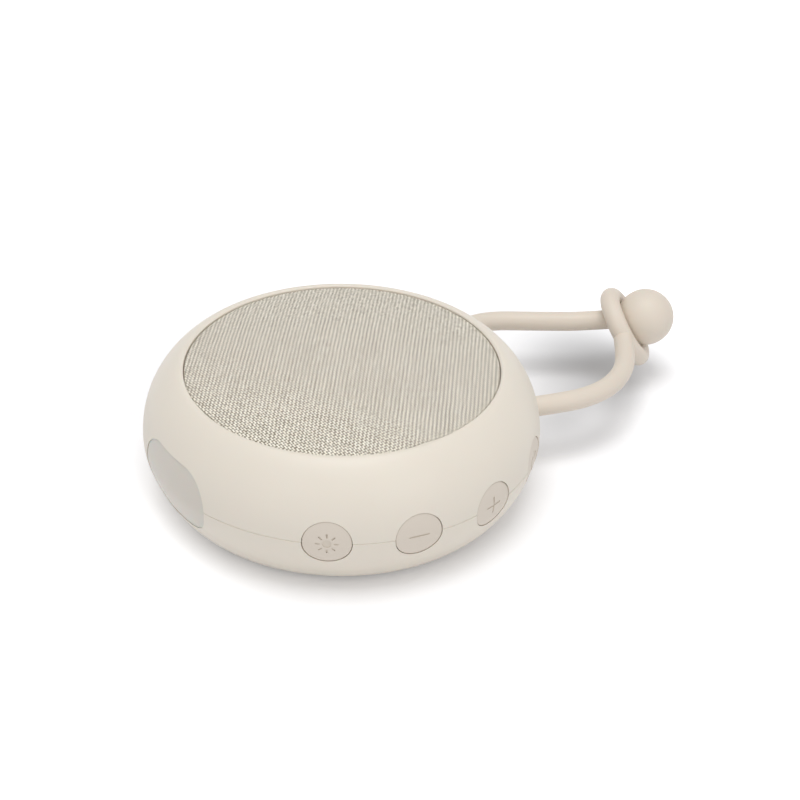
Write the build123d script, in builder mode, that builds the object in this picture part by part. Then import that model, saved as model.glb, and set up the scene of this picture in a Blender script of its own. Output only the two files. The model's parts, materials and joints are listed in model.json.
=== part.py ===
from build123d import *
from math import cos, pi, radians, sin, tan
import os

os.makedirs("parts", exist_ok=True)

# A round, fabric-topped sound machine with a night light and a looped strap.
# Millimetres. The origin is on the body's axis at the surface it stands on, +Z is up.
# Azimuths are in degrees from -Y towards +X: the light looks along -Y, the buttons
# are on the +X side and the strap leaves towards +Y.

# --- outline of the body, a smooth pebble turned about +Z ---
body_radius = 50.0
seam_height = 16.6  # parting line, at the widest height
shoulder_handle = 12.4  # how upright the side stays above the seam
lip_radius = 40.3
lip_height = 34.5
lip_handle = 1.2
belly_handle = 5.3  # how upright the side stays below the seam
base_radius = 41.1
base_height = 1.1
base_handle = 3.45
wall = 2.2
seam_groove_depth = 0.19
tongue_thickness = 1.0
tongue_height = 1.4
seam_gap = 0.1

# --- deck that closes the top housing and carries the speaker ---
deck_depth = 4.3  # from the lip down to the deck
deck_thickness = 2.0
lip_width = 0.95  # from the grille's opening out to the lip's crest
speaker_opening_radius = 23.5
lip_round = 0.4

# --- grille ---
fabric_thickness = 0.7
fabric_edge_gap = 0.15
fabric_edge_depth = 0.5  # from the lip down to the fabric's edge
dome_rise = 4.5
plate_thickness = 1.6
rim_width = 2.0
fabric_wrap = 3.0  # how far the fabric turns down over the rim
fabric_edge_round = 0.5
slot_rings = 6
slot_width = 2.6
slot_pitch = 4.6
first_slot_radius = 7.0
spoke_count = 8
spoke_width = 3.0
hook_count = 4
hook_width = 6.0
hook_thickness = 1.4
hook_reach = 0.6
hook_height = 1.2
hook_gap = 0.3

# --- buttons and their switches ---
button_names = ["light", "minus", "plus", "power"]
first_button_azimuth = 53.1
button_pitch = 25.3
button_hole_radius = 6.0
button_gap = 0.12
button_recess = 0.15
button_edge_round = 0.3
button_flange_width = 1.2  # beyond the hole
button_flange_gap = 0.2
button_depth = 5.2  # from the widest outline in to the flange's back
button_rim = 1.5  # from the hole's edge in to the pocket behind the face
button_front_wall = 1.5
button_pin_radius = 1.7
button_pin_reach = 0.5  # behind the flange, where the pin meets the switch stem
stem_radius = 1.3
stem_length = 3.1
stem_gap = 0.15
stem_stick_out = 1.3  # out of the switch
switch_depth = 4.0
switch_width = 6.2
switch_bore_depth = 2.9
switch_below_axis = 2.2  # from the stem's axis down to the board
switch_height = 4.4
switch_corner = 0.4

# --- night light ---
light_azimuth = 0.0
lens_width = 28.3
lens_height = 17.2
lens_gap = 0.06
lens_recess = 0.15
lens_flange = 1.3
lens_flange_gap = 0.1
lens_flange_thickness = 1.0
tray_depth = 9.0  # from the widest outline in to the tray's back
tray_wall = 1.2
tray_flare = 4.0  # degrees
tray_rib_width = 24.0
tray_rib_thickness = 1.5
tray_rib_height = 12.0
light_board_thickness = 1.0
led_count = 4
led_pitch = 5.6
led_length = 3.5
led_width = 2.8
led_height = 1.4
led_corner = 0.3

# --- charging socket ---
usb_azimuth = 270.0
usb_width = 8.94
usb_height = 3.26
usb_length = 7.5
usb_wall = 0.3
usb_setback = 1.4  # from the widest outline in to the shell's mouth
usb_hole_gap = 0.25
usb_tongue_width = 6.7
usb_tongue_height = 0.7
usb_tongue_length = 5.0

# --- main board, a ring round the speaker's magnet ---
board_inner_radius = 25.8
board_edge_gap = 6.2  # from the wall's inside to the ring
board_thickness = 1.2
board_tab_gap = 1.8  # from the wall's inside to the socket's tab
board_tab_width = 13.0
light_notch_width = 32.0
light_notch_gap = 0.5  # behind the night light's rib
board_wall_gap = 0.2  # the least that stays between a board and the wall
board_hole_gap = 0.5
pillar_azimuths = [60.0, 120.0, 240.0, 300.0]
pillar_ring = 34.0
pillar_radius = 2.4
board_screw_radius = 0.9
board_screw_length = 6.0
board_screw_head_radius = 1.9
board_screw_head_height = 1.3
screw_pilot_gap = 0.05
screw_clearance = 0.3
chip_sizes = [(7.0, 7.0, 0.9), (5.0, 5.0, 0.9), (5.2, 5.2, 1.7), (4.0, 4.0, 2.0)]
chip_azimuths = [90.0, 76.0, 104.0, 196.0]
chip_ring = 31.5

# --- housing screws ---
post_azimuths = [30.0, 150.0, 210.0, 330.0]
post_setback = 3.5  # from the foot ring's outer edge in to the screws
lower_post_radius = 3.6
upper_post_radius = 3.2
post_joint_height = 9.5
screw_seat_height = 6.5
screw_head_radius = 2.3
screw_head_height = 1.8
screw_radius = 1.2
screw_length = 10.0
counterbore_radius = 2.6

# --- foot ring ---
foot_inset = 3.1  # from the base's edge in to the ring
foot_width = 8.0
foot_thickness = 1.9
foot_gap = 0.1
foot_round = 0.4

# --- battery ---
battery_width = 34.0
battery_length = 50.0
battery_thickness = 6.0
battery_round = 2.0
pad_thickness = 0.6
pad_margin = 2.0
fence_gap = 0.3
fence_thickness = 1.1
fence_height = 4.0
fence_break = 16.0

# --- speaker ---
gasket_thickness = 0.8
flange_radius = 26.0
flange_inner_radius = 21.9
flange_thickness = 1.2
gasket_gap = 0.1
basket_wall = 1.0
basket_floor_thickness = 1.0
basket_floor_radius = 14.6
spider_shelf_width = 1.0
spider_shelf_rise = 1.0
basket_depth = 9.0  # from the flange's face down to the basket's floor
basket_window_count = 4
basket_window_width = 9.0
basket_window_height = 4.0
basket_window_round = 1.0
ear_azimuths = [45.0, 135.0, 225.0, 315.0]
ear_ring = 28.6
ear_radius = 2.6
speaker_screw_radius = 0.9
speaker_screw_length = 2.6
speaker_screw_head_radius = 1.8
speaker_screw_head_height = 1.1
pole_radius = 5.0
top_plate_hole_radius = 6.3
top_plate_radius = 12.5
top_plate_thickness = 1.8
magnet_hole_radius = 7.2
magnet_radius = 14.0
magnet_thickness = 3.2
yoke_radius = 12.5
yoke_thickness = 1.7
coil_inner_radius = 5.4
coil_outer_radius = 5.9
coil_height = 6.9
coil_depth = 2.9  # how far the coil reaches below the top plate's upper face
cone_rim_radius = 19.0
cone_rim_width = 1.4
cone_thickness = 0.5
cone_depth = 6.0
dust_cap_radius = 7.4
dust_cap_rise = 2.4
surround_thickness = 0.4
surround_land = 0.7
spider_thickness = 0.3
spider_waves = 4
spider_wave_height = 0.5

# --- leads inside the body ---
lead_radius = 0.6
lead_spacing = 1.6
lead_run = 5.2  # out of a plug before the first bend
battery_lead_run = 4.2
terminal_lead_run = 4.0
header_width = 5.6
header_depth = 4.0
header_height = 3.4
header_wall = 0.6
plug_gap = 0.05
plug_stick_out = 1.2
header_ring = 31.0
battery_header_azimuth = 259.0
speaker_header_azimuth = 281.0
light_header_azimuth = 8.0
terminal_azimuth = 284.0
terminal_width = 7.0
terminal_reach = 3.6
terminal_thickness = 0.8

# --- strap: two moulded cords, one ending in a ring, the other in a ball ---
strap_diameter = 5.3
strap_hole_gap = 0.2
strap_exit_spread = 20.0  # each side of the body's axis, where the free cords begin
strap_stub = 1.631  # from the body's outline out to the free cords
strap_exit_heading = 18.0  # degrees outwards from +Y
anchor_rim = 1.85  # how far the anchor's head stands out round the cord
anchor_thickness = 2.8
anchor_depth = 0.769  # from the wall's inside to the anchor's head
anchor_gap = 0.15
socket_wall = 1.7
ring_centre = (-0.4, 93.7, 15.5)
ring_opening_radius = 6.35
ring_heading = 36.2  # degrees from +Y towards +X
ring_tilt = 31.9  # the ring leans back towards the body
ring_joint_angle = 165.6  # where its cord joins the ring
ball_radius = 7.75
ball_gap = 0.5859  # between the ball and the ring that holds it
ball_neck = 0.5
strap_corner_share = 0.45

ring_cord_bends = [
    (21.95, 53.6, 16.6),
    (23.15, 59.8, 16.5),
    (22.95, 66.1, 16.4),
    (21.2, 72.1, 16.3),
    (18.0, 77.5, 16.3),
    (13.9, 81.8, 16.5),
]
ring_cord_end = (9.9, 84.7, 16.9)
ball_cord_bends = [
    (-21.8195, 53.2, 16.6),
    (-22.7, 58.6, 16.4),
    (-21.4, 64.2, 16.1),
    (-17.9, 69.9, 16.0),
    (-13.4, 77.0, 15.9),
    (-8.4, 84.2, 16.1),
]

# --- what follows from the sizes above ---
deck_top = lip_height - deck_depth
deck_bottom = deck_top - deck_thickness
floor_top = base_height + wall
button_azimuths = [first_button_azimuth + i * button_pitch for i in range(len(button_names))]
button_radius = button_hole_radius - button_gap
button_flange_radius = button_hole_radius + button_flange_width
button_pocket_radius = button_hole_radius - button_rim
button_back_radius = body_radius - button_depth
stem_tip_radius = button_back_radius - button_pin_reach
switch_front_radius = stem_tip_radius - stem_stick_out
tray_back_radius = body_radius - tray_depth
usb_front_radius = body_radius - usb_setback
board_outer_radius = body_radius - wall - board_edge_gap
board_tab_radius = body_radius - wall - board_tab_gap
light_notch_radius = tray_back_radius - light_board_thickness - tray_rib_thickness - light_notch_gap
foot_outer_radius = base_radius - foot_inset
foot_inner_radius = foot_outer_radius - foot_width
post_ring = foot_outer_radius - post_setback
board_top = seam_height - switch_below_axis
board_bottom = board_top - board_thickness
grille_opening_radius = lip_radius - lip_width
fabric_edge_height = lip_height - fabric_edge_depth
fabric_radius = grille_opening_radius - fabric_edge_gap
plate_radius = fabric_radius - fabric_thickness
plate_edge_height = fabric_edge_height - fabric_thickness
hook_middle = plate_radius - rim_width / 2
flange_top = deck_bottom - gasket_thickness
flange_bottom = flange_top - flange_thickness
basket_floor_top = flange_top - basket_depth
top_plate_top = basket_floor_top - basket_floor_thickness
magnet_top = top_plate_top - top_plate_thickness
yoke_top = magnet_top - magnet_thickness
coil_bottom = top_plate_top - coil_depth
cone_rim_top = flange_top
cone_neck_top = cone_rim_top - cone_depth
usb_axis_height = board_top + usb_height / 2
battery_bottom = floor_top + pad_thickness
strap_radius = strap_diameter / 2
strap_exit_reach = ((body_radius + strap_stub) ** 2 - strap_exit_spread**2) ** 0.5
anchor_radius = strap_radius + anchor_rim
anchor_setback = strap_stub + wall + anchor_depth
ring_radius = ring_opening_radius + strap_radius
ball_offset = ((ball_radius + strap_radius + ball_gap) ** 2 - ring_radius**2) ** 0.5


def save(piece, name):
    """Labels one finished piece and writes its file."""
    piece.label = name
    export_step(piece, f"parts/{name}.step")


def polar(azimuth, radius):
    """The x and y of a point at an azimuth and a distance from the body's axis."""
    return radius * sin(radians(azimuth)), -radius * cos(radians(azimuth))


def radial_plane(azimuth, radius, height=seam_height):
    """A plane that looks outwards from the axis: local x runs round the body, local y is up."""
    x, y = polar(azimuth, radius)
    outward = polar(azimuth, 1)
    return Plane(origin=(x, y, height), x_dir=(-outward[1], outward[0], 0), z_dir=(*outward, 0))


def ring_locations(azimuths, radius):
    """Places at one distance from the axis, for holes and posts."""
    return Locations(*[polar(azimuth, radius) for azimuth in azimuths])


def body_form(inset):
    """The body as one solid of revolution, with its surface moved inwards by inset."""
    side = body_radius - inset
    top = lip_height - inset
    base = base_height + inset
    upper_scale = (top - seam_height) / (lip_height - seam_height)
    lower_scale = (seam_height - base) / (seam_height - base_height)
    lip_scale = (side - lip_radius) / (body_radius - lip_radius)
    base_scale = (side - base_radius) / (body_radius - base_radius)
    with BuildPart() as form:
        with BuildSketch(Plane.XZ):
            with BuildLine():
                Bezier(
                    (side, seam_height),
                    (side, seam_height + shoulder_handle * upper_scale),
                    (lip_radius + lip_handle * lip_scale, top),
                    (lip_radius, top),
                )
                Polyline((lip_radius, top), (0, top), (0, base), (base_radius, base))
                Bezier(
                    (base_radius, base),
                    (base_radius + base_handle * base_scale, base),
                    (side, seam_height - belly_handle * lower_scale),
                    (side, seam_height),
                )
            make_face()
        revolve(axis=Axis.Z)
    return form.part


outer_form = body_form(0)
lens_face_form = body_form(lens_recess)
button_face_form = body_form(button_recess)
cavity_form = body_form(wall)
button_flange_form = body_form(wall + button_flange_gap)
board_form = body_form(wall + board_wall_gap)
lens_flange_form = body_form(wall + lens_flange_gap)
tray_form = body_form(wall + lens_flange_gap + lens_flange_thickness)


def stadium(width, height, azimuth, radius, centre_height=seam_height):
    """A round-ended outline on the plane that looks outwards at a distance from the axis."""
    with BuildSketch(radial_plane(azimuth, radius, centre_height)) as outline:
        SlotOverall(width, height)
    return outline.sketch


def strap_plane(side, setback):
    """A plane across one strap cord where it passes the wall: side is +1 or -1 along X."""
    heading = radians(strap_exit_heading)
    direction = (side * sin(heading), cos(heading), 0)
    origin = (
        side * strap_exit_spread - setback * direction[0],
        strap_exit_reach - setback * direction[1],
        seam_height,
    )
    return Plane(origin=origin, x_dir=(direction[1], -direction[0], 0), z_dir=direction)


# ---------------------------------------------------------------- shared cutting forms
# What is cut through the wall, half in either shell.
with BuildPart() as wall_openings:
    for azimuth in button_azimuths:
        with BuildSketch(radial_plane(azimuth, button_back_radius)):
            Circle(button_hole_radius)
        extrude(amount=body_radius + wall - button_back_radius)
    extrude(
        stadium(lens_width, lens_height, light_azimuth, tray_back_radius),
        amount=body_radius + wall - tray_back_radius,
    )
    extrude(
        stadium(
            usb_width + 2 * usb_hole_gap,
            usb_height + 2 * usb_hole_gap,
            usb_azimuth,
            board_tab_radius,
            usb_axis_height,
        ),
        amount=body_radius + wall - board_tab_radius,
    )
    for side in (1, -1):
        with BuildSketch(strap_plane(side, anchor_setback)):
            Circle(strap_radius + strap_hole_gap)
        extrude(amount=anchor_setback)

# Bosses on the parting line that hold the strap's anchors, and the pockets in them.
pocket_depth = anchor_thickness + 2 * anchor_gap
with BuildPart() as strap_bosses:
    for side in (1, -1):
        with BuildSketch(strap_plane(side, anchor_setback + pocket_depth + socket_wall)):
            Circle(anchor_radius + anchor_gap + socket_wall)
        extrude(amount=pocket_depth + 2 * socket_wall)
    add(body_form(wall / 2), mode=Mode.INTERSECT)
with BuildPart() as strap_pockets:
    for side in (1, -1):
        with BuildSketch(strap_plane(side, anchor_setback + pocket_depth - anchor_gap)):
            Circle(anchor_radius + anchor_gap)
        extrude(amount=pocket_depth)

with BuildPart() as upper_strap_bosses:
    add(strap_bosses.part)
    split(bisect_by=Plane.XY.offset(seam_height), keep=Keep.TOP)
with BuildPart() as lower_strap_bosses:
    add(strap_bosses.part)
    split(bisect_by=Plane.XY.offset(seam_height), keep=Keep.BOTTOM)

# The fine V that the two shells leave between them all round.
with BuildPart() as seam_groove:
    with BuildSketch(Plane.XZ):
        with Locations((body_radius, seam_height)):
            Rectangle(seam_groove_depth * 2**0.5, seam_groove_depth * 2**0.5, rotation=45)
    revolve(axis=Axis.Z)

# The hollow under the deck.
with BuildPart() as top_cavity:
    add(cavity_form)
    split(bisect_by=Plane.XY.offset(deck_bottom), keep=Keep.BOTTOM)

# ---------------------------------------------------------------- housing shells
with BuildPart() as top_housing:
    add(outer_form)
    split(bisect_by=Plane.XY.offset(seam_height), keep=Keep.TOP)
    with BuildSketch(Plane.XY.offset(deck_top)):
        Circle(grille_opening_radius)
    extrude(amount=lip_height - deck_top, mode=Mode.SUBTRACT)
    fillet(edges().group_by(Axis.Z)[-1].sort_by(SortBy.RADIUS)[0], lip_round)
    add(top_cavity.part, mode=Mode.SUBTRACT)
    # posts down to the parting line's screws, bosses for the speaker's screws
    with BuildSketch(Plane.XY.offset(post_joint_height)):
        with ring_locations(post_azimuths, post_ring):
            Circle(upper_post_radius)
    extrude(amount=deck_bottom - post_joint_height)
    with BuildSketch(Plane.XY.offset(flange_top)):
        with ring_locations(ear_azimuths, ear_ring):
            Circle(ear_radius)
    extrude(amount=deck_bottom - flange_top)
    add(upper_strap_bosses.part)
    # rebate that takes the bottom shell's tongue
    with BuildSketch(Plane.XY.offset(seam_height)):
        Circle(body_radius - wall + tongue_thickness + seam_gap)
        Circle(body_radius - wall - seam_gap, mode=Mode.SUBTRACT)
    extrude(amount=tongue_height + seam_gap, mode=Mode.SUBTRACT)
    add(strap_pockets.part, mode=Mode.SUBTRACT)
    add(seam_groove.part, mode=Mode.SUBTRACT)
    add(wall_openings.part, mode=Mode.SUBTRACT)
    # screw holes
    with BuildSketch(Plane.XY.offset(post_joint_height)):
        with ring_locations(post_azimuths, post_ring):
            Circle(screw_radius + screw_pilot_gap)
    extrude(amount=screw_length, mode=Mode.SUBTRACT)
    with BuildSketch(Plane.XY.offset(flange_top)):
        with ring_locations(ear_azimuths, ear_ring):
            Circle(speaker_screw_radius + screw_pilot_gap)
    extrude(amount=speaker_screw_length, mode=Mode.SUBTRACT)
    # speaker opening and the slots for the grille's hooks
    with BuildSketch(Plane.XY.offset(deck_bottom)):
        Circle(speaker_opening_radius)
        with PolarLocations(hook_middle + hook_reach / 2, hook_count):
            Rectangle(hook_thickness + hook_reach + 2 * hook_gap, hook_width + 2 * hook_gap)
    extrude(amount=deck_thickness, mode=Mode.SUBTRACT)
save(top_housing.part, "top_housing")

with BuildPart() as bottom_housing:
    add(outer_form)
    split(bisect_by=Plane.XY.offset(seam_height), keep=Keep.BOTTOM)
    add(cavity_form, mode=Mode.SUBTRACT)
    # tongue that steps up inside the top shell
    with BuildSketch(Plane.XY.offset(seam_height)):
        Circle(body_radius - wall + tongue_thickness)
        Circle(body_radius - wall, mode=Mode.SUBTRACT)
    extrude(amount=tongue_height)
    # lower posts, pillars under the board and the fence round the battery
    with BuildSketch(Plane.XY.offset(base_height + wall / 2)):
        with ring_locations(post_azimuths, post_ring):
            Circle(lower_post_radius)
    extrude(amount=post_joint_height - base_height - wall / 2)
    with BuildSketch(Plane.XY.offset(base_height + wall / 2)):
        with ring_locations(pillar_azimuths, pillar_ring):
            Circle(pillar_radius)
    extrude(amount=board_bottom - base_height - wall / 2)
    with BuildSketch(Plane.XY.offset(floor_top)):
        fence_inner_width = battery_width + 2 * fence_gap
        fence_inner_length = battery_length + 2 * fence_gap
        Rectangle(fence_inner_width + 2 * fence_thickness, fence_inner_length + 2 * fence_thickness)
        Rectangle(fence_inner_width, fence_inner_length, mode=Mode.SUBTRACT)
        Rectangle(battery_length * 2, fence_break, mode=Mode.SUBTRACT)
        Rectangle(fence_break, battery_length * 2, mode=Mode.SUBTRACT)
    extrude(amount=fence_height)
    # rib that backs the night light's tray
    with BuildSketch(Plane.XY.offset(base_height + wall / 2)):
        rib_centre = tray_back_radius - light_board_thickness - tray_rib_thickness / 2
        with Locations(polar(light_azimuth, rib_centre)):
            Rectangle(tray_rib_width, tray_rib_thickness)
    extrude(amount=tray_rib_height)
    add(lower_strap_bosses.part)
    add(strap_pockets.part, mode=Mode.SUBTRACT)
    add(seam_groove.part, mode=Mode.SUBTRACT)
    add(wall_openings.part, mode=Mode.SUBTRACT)
    # groove for the foot ring, and the screw holes that it hides
    with BuildSketch(Plane.XY.offset(base_height)):
        Circle(foot_outer_radius + foot_gap)
        Circle(foot_inner_radius - foot_gap, mode=Mode.SUBTRACT)
    extrude(amount=foot_thickness - base_height, mode=Mode.SUBTRACT)
    with BuildSketch(Plane.XY.offset(base_height)):
        with ring_locations(post_azimuths, post_ring):
            Circle(counterbore_radius)
    extrude(amount=screw_seat_height - base_height, mode=Mode.SUBTRACT)
    with BuildSketch(Plane.XY.offset(screw_seat_height)):
        with ring_locations(post_azimuths, post_ring):
            Circle(screw_radius + screw_clearance)
    extrude(amount=post_joint_height - screw_seat_height, mode=Mode.SUBTRACT)
    with BuildSketch(Plane.XY.offset(board_bottom)):
        with ring_locations(pillar_azimuths, pillar_ring):
            Circle(board_screw_radius + screw_pilot_gap)
    extrude(amount=-board_screw_length, mode=Mode.SUBTRACT)
save(bottom_housing.part, "bottom_housing")

with BuildPart() as base_foot:
    with BuildSketch(Plane.XY):
        Circle(foot_outer_radius)
        Circle(foot_inner_radius, mode=Mode.SUBTRACT)
    extrude(amount=foot_thickness)
    fillet(edges().group_by(Axis.Z)[0], foot_round)
save(base_foot.part, "base_foot")


def dome_radius(edge_radius, rise):
    """The radius of a sphere whose cap has this edge and this rise."""
    return (edge_radius**2 + rise**2) / (2 * rise)


def dome_form(edge_radius, edge_height, rise, base):
    """A solid of revolution: a domed top over a straight side that reaches down to base."""
    with BuildPart() as form:
        with BuildSketch(Plane.XZ):
            with BuildLine():
                crown = edge_height + rise
                RadiusArc((0, crown), (edge_radius, edge_height), dome_radius(edge_radius, rise))
                Polyline((edge_radius, edge_height), (edge_radius, base), (0, base), (0, crown))
            make_face()
        revolve(axis=Axis.Z)
    return form.part


# ---------------------------------------------------------------- grille
with BuildPart() as grille_plate:
    add(dome_form(plate_radius, plate_edge_height, dome_rise, deck_top))
    inner_rise = dome_rise * ((plate_radius - rim_width) / plate_radius) ** 2
    add(
        dome_form(
            plate_radius - rim_width, plate_edge_height - plate_thickness, inner_rise, deck_top
        ),
        mode=Mode.SUBTRACT,
    )
    # sound slots: rings cut through between straight spokes
    with BuildSketch(Plane.XY.offset(deck_top)):
        for ring in range(slot_rings):
            middle = first_slot_radius + ring * slot_pitch
            Circle(middle + slot_width / 2)
            Circle(middle - slot_width / 2, mode=Mode.SUBTRACT)
        with PolarLocations(0, spoke_count):
            with Locations((plate_radius / 2, 0)):
                Rectangle(plate_radius, spoke_width, mode=Mode.SUBTRACT)
    extrude(amount=lip_height + dome_rise - deck_top, mode=Mode.SUBTRACT)
    # hooks that snap under the deck
    with BuildSketch(Plane.XY.offset(deck_top)):
        with PolarLocations(hook_middle, hook_count):
            Rectangle(hook_thickness, hook_width)
    extrude(amount=-deck_thickness - hook_height)
    with BuildSketch(Plane.XY.offset(deck_bottom)):
        with PolarLocations(hook_middle + hook_reach / 2, hook_count):
            Rectangle(hook_thickness + hook_reach, hook_width)
    extrude(amount=-hook_height)
save(grille_plate.part, "grille_plate")

with BuildPart() as grille_fabric:
    add(dome_form(fabric_radius, fabric_edge_height, dome_rise, fabric_edge_height - fabric_wrap))
    crown_edges = edges().filter_by(GeomType.CIRCLE).filter_by(
        lambda edge: abs(edge.center().Z - fabric_edge_height) < fabric_edge_round
        and edge.length > fabric_radius
    )
    fillet(crown_edges, fabric_edge_round)
    add(
        dome_form(plate_radius, plate_edge_height, dome_rise, fabric_edge_height - fabric_wrap),
        mode=Mode.SUBTRACT,
    )
save(grille_fabric.part, "grille_fabric")

# ---------------------------------------------------------------- buttons
with BuildPart() as switch_bodies:
    for azimuth in button_azimuths:
        with BuildSketch(
            radial_plane(azimuth, switch_front_radius - switch_depth, board_top + switch_height / 2)
        ):
            RectangleRounded(switch_width, switch_height, switch_corner)
        extrude(amount=switch_depth)
    for azimuth in button_azimuths:
        with BuildSketch(radial_plane(azimuth, switch_front_radius)):
            Circle(stem_radius + stem_gap)
        extrude(amount=-switch_bore_depth, mode=Mode.SUBTRACT)
save(switch_bodies.part, "switch_bodies")

for name, azimuth in zip(button_names, button_azimuths):
    with BuildPart() as button:
        # the flange behind the wall follows the wall's curve
        with BuildSketch(radial_plane(azimuth, button_back_radius)):
            Circle(button_flange_radius)
        extrude(amount=body_radius - button_back_radius)
        add(button_flange_form, mode=Mode.INTERSECT)
        # the cap in the hole, a cup whose face follows the body
        with BuildSketch(radial_plane(azimuth, button_back_radius)):
            Circle(button_radius)
        extrude(amount=body_radius - button_back_radius)
        add(button_face_form, mode=Mode.INTERSECT)
        # soft rim round the face
        back_plane = radial_plane(azimuth, button_back_radius)
        rim_edges = edges().filter_by(GeomType.LINE, reverse=True).filter_by(
            lambda edge: back_plane.to_local_coords(edge @ 0.5).Z > button_depth - wall
            and (edge @ 0.5 - back_plane.origin).cross(back_plane.z_dir).length > button_radius / 2
        )
        fillet(rim_edges, button_edge_round)
        with BuildSketch(radial_plane(azimuth, button_back_radius)):
            Circle(button_pocket_radius)
            Circle(button_pin_radius, mode=Mode.SUBTRACT)
        extrude(
            amount=body_radius - button_back_radius - button_front_wall, mode=Mode.SUBTRACT
        )
        with BuildSketch(radial_plane(azimuth, stem_tip_radius)):
            Circle(button_pin_radius)
        extrude(amount=button_back_radius - stem_tip_radius)
    save(button.part, f"{name}_button")

    with BuildPart() as stem:
        with BuildSketch(radial_plane(azimuth, stem_tip_radius)):
            Circle(stem_radius)
        extrude(amount=-stem_length)
    save(stem.part, f"{name}_switch_stem")

# ---------------------------------------------------------------- night light
with BuildPart() as light_lens:
    extrude(
        stadium(
            lens_width + 2 * lens_flange,
            lens_height + 2 * lens_flange,
            light_azimuth,
            tray_back_radius,
        ),
        amount=body_radius - tray_back_radius,
    )
    add(lens_flange_form, mode=Mode.INTERSECT)
    extrude(
        stadium(lens_width - 2 * lens_gap, lens_height - 2 * lens_gap, light_azimuth, tray_back_radius),
        amount=body_radius - tray_back_radius,
    )
    add(lens_face_form, mode=Mode.INTERSECT)
    add(tray_form, mode=Mode.SUBTRACT)
save(light_lens.part, "light_lens")

with BuildPart() as light_tray:
    extrude(
        stadium(lens_width, lens_height, light_azimuth, tray_back_radius),
        amount=body_radius - tray_back_radius,
    )
    add(tray_form, mode=Mode.INTERSECT)
    extrude(
        stadium(
            lens_width - 2 * tray_wall, lens_height - 2 * tray_wall, light_azimuth, tray_back_radius
        ),
        amount=body_radius - tray_back_radius,
        taper=-tray_flare,
        mode=Mode.SUBTRACT,
    )
save(light_tray.part, "light_tray")

with BuildPart() as light_board:
    extrude(
        stadium(lens_width, lens_height, light_azimuth, tray_back_radius),
        amount=-light_board_thickness,
    )
    add(board_form, mode=Mode.INTERSECT)
save(light_board.part, "light_board")

with BuildPart() as light_leds:
    with BuildSketch(radial_plane(light_azimuth, tray_back_radius)):
        with GridLocations(led_pitch, 0, led_count, 1):
            RectangleRounded(led_length, led_width, led_corner)
    extrude(amount=led_height)
save(light_leds.part, "light_leds")

# ---------------------------------------------------------------- charging socket
with BuildPart() as usb_shell:
    extrude(
        stadium(usb_width, usb_height, usb_azimuth, usb_front_radius, usb_axis_height),
        amount=-usb_length,
    )
    extrude(
        stadium(
            usb_width - 2 * usb_wall,
            usb_height - 2 * usb_wall,
            usb_azimuth,
            usb_front_radius,
            usb_axis_height,
        ),
        amount=-usb_length + usb_wall,
        mode=Mode.SUBTRACT,
    )
save(usb_shell.part, "usb_shell")

with BuildPart() as usb_tongue:
    with BuildSketch(
        radial_plane(usb_azimuth, usb_front_radius - usb_length + usb_wall, usb_axis_height)
    ):
        Rectangle(usb_tongue_width, usb_tongue_height)
    extrude(amount=usb_tongue_length)
save(usb_tongue.part, "usb_tongue")

# ---------------------------------------------------------------- main board
with BuildPart() as main_board:
    with BuildSketch(Plane.XY.offset(board_bottom)):
        Circle(board_outer_radius)
        with Locations(polar(usb_azimuth, (board_inner_radius + board_tab_radius) / 2)):
            Rectangle(board_tab_radius - board_inner_radius, board_tab_width)
        Circle(board_inner_radius, mode=Mode.SUBTRACT)
        with Locations(polar(light_azimuth, light_notch_radius + board_outer_radius / 2)):
            Rectangle(light_notch_width, board_outer_radius, mode=Mode.SUBTRACT)
        with ring_locations(post_azimuths, post_ring):
            Circle(lower_post_radius + board_hole_gap, mode=Mode.SUBTRACT)
        with ring_locations(pillar_azimuths, pillar_ring):
            Circle(board_screw_radius + screw_clearance, mode=Mode.SUBTRACT)
    extrude(amount=board_thickness)
    add(board_form, mode=Mode.INTERSECT)
save(main_board.part, "main_board")

with BuildPart() as board_chips:
    for azimuth, (width, depth, height) in zip(chip_azimuths, chip_sizes):
        with BuildSketch(Plane.XY.offset(board_top)):
            with Locations(Location((*polar(azimuth, chip_ring), 0), (0, 0, azimuth))):
                Rectangle(width, depth)
        extrude(amount=height)
save(board_chips.part, "board_chips")


def screws(azimuths, ring, seat, shank_radius, length, head_radius, head_height, points_up):
    """A ring of identical screws as separate solids, each with a dome-edged head."""
    way = 1 if points_up else -1
    with BuildPart() as group:
        with BuildSketch(Plane.XY.offset(seat)):
            with ring_locations(azimuths, ring):
                Circle(shank_radius)
        extrude(amount=way * length)
        with BuildSketch(Plane.XY.offset(seat)):
            with ring_locations(azimuths, ring):
                Circle(head_radius)
        extrude(amount=-way * head_height)
        chamfer(edges().group_by(Axis.Z)[0 if points_up else -1], head_height / 3)
    return group.part


save(
    screws(post_azimuths, post_ring, screw_seat_height, screw_radius, screw_length,
           screw_head_radius, screw_head_height, True),
    "housing_screws",
)
save(
    screws(pillar_azimuths, pillar_ring, board_top, board_screw_radius,
           board_screw_length, board_screw_head_radius, board_screw_head_height, False),
    "board_screws",
)
save(
    screws(ear_azimuths, ear_ring, flange_bottom, speaker_screw_radius,
           flange_thickness + speaker_screw_length, speaker_screw_head_radius,
           speaker_screw_head_height, True),
    "speaker_screws",
)

# ---------------------------------------------------------------- battery
with BuildPart() as battery_pad:
    with BuildSketch(Plane.XY.offset(floor_top)):
        Rectangle(battery_width - 2 * pad_margin, battery_length - 2 * pad_margin)
    extrude(amount=pad_thickness)
save(battery_pad.part, "battery_pad")

with BuildPart() as battery_cell:
    with BuildSketch(Plane.XY.offset(battery_bottom)):
        RectangleRounded(battery_width, battery_length, battery_round)
    extrude(amount=battery_thickness)
    fillet(edges().group_by(Axis.Z)[-1] + edges().group_by(Axis.Z)[0], battery_round / 2)
save(battery_cell.part, "battery_cell")


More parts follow.
